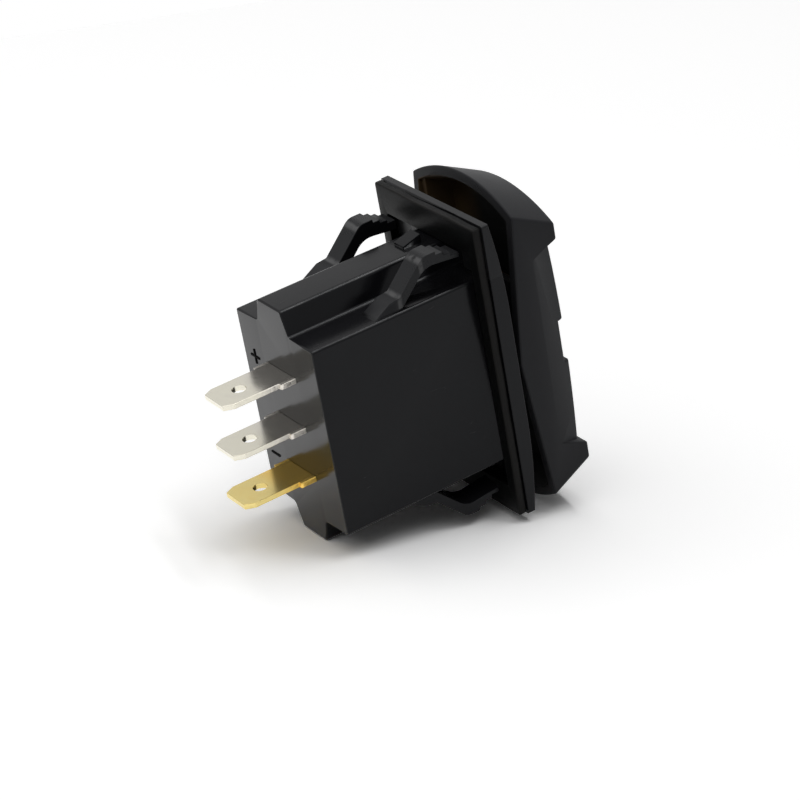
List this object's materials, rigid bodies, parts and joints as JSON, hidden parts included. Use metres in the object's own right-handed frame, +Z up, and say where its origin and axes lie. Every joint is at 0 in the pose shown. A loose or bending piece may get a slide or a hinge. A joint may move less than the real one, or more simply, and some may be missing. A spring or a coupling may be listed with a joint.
{
  "type": "rocker switch",
  "caption": "Snap-in panel rocker switch with arched rocker ends, a small voltmeter display behind a window, a panel gasket, barbed snap legs and flat blade tabs.",
  "frame": {"origin": "centre of the panel seat, in the plane of the gasket's rear face", "axes": "+Y to the rear along the blade tabs, -Y to the rocker's face, +Z up towards the line tab, +X to the right of a user who faces the rocker"},
  "size_m": [0.0252, 0.0503, 0.0508],
  "materials": {
    "black_nylon": "satin moulded",
    "seal_rubber": "matt",
    "rocker_black": "fine satin",
    "smoked_lens": "smoked, clear",
    "display_grey": "matt",
    "segment_white": "translucent",
    "board_brown": "laminate",
    "chip_black": "moulded",
    "can_metal": "bright",
    "trimmer_white": "moulded",
    "inner_black": "moulded",
    "stud_brass": "plain",
    "plunger_ivory": "moulded",
    "spring_steel": "drawn wire",
    "blade_bronze": "rolled",
    "contact_silver": "silver faced",
    "tab_tin": "tin plated",
    "tab_brass": "plain, rolled"
  },
  "bodies": {
    "housing_body": {"housing": "black_nylon", "panel_gasket": "seal_rubber", "line_terminal": "tab_tin", "load_terminal": "tab_tin", "ground_terminal": "tab_brass", "fixed_contact": "contact_silver", "feed_spring_positive": "stud_brass", "feed_spring_ground": "stud_brass"},
    "rocker_body": {"rocker_cap": "rocker_black", "display_lens": "smoked_lens", "display_module": "display_grey", "digit_segments": "segment_white", "meter_board": "board_brown", "meter_chip": "chip_black", "regulator": "chip_black", "capacitor": "can_metal", "trimmer": "trimmer_white", "chip_resistors": "chip_black", "actuator": "inner_black", "feed_stud_positive": "stud_brass", "feed_stud_ground": "stud_brass", "plunger_spring": "spring_steel"},
    "plunger_body": {"plunger": "plunger_ivory"},
    "blade_body": {"contact_blade": "blade_bronze", "moving_contact": "contact_silver"}
  },
  "joints": [
    {"name": "rocker_tilt", "type": "hinge", "parent": "housing_body", "child": "rocker_body", "pos_m": [0, -0.0019, 0], "axis": [1, 0, 0], "range_deg": [-7, 7]},
    {"name": "blade_tilt", "type": "hinge", "parent": "housing_body", "child": "blade_body", "pos_m": [0, 0.0077, 0], "axis": [1, 0, 0], "range_deg": [-4.5, 4.5]},
    {"name": "plunger_slide", "type": "slide", "parent": "rocker_body", "child": "plunger_body", "axis": [0, -1, 0], "range_m": [0, 0.001], "stiffness_N_per_m": 400, "springref_m": -0.001, "deforming": ["plunger_spring"]}
  ],
  "couplings": [
    {"joint": "blade_tilt", "follows": "rocker_tilt", "ratio": -0.6428}
  ]
}
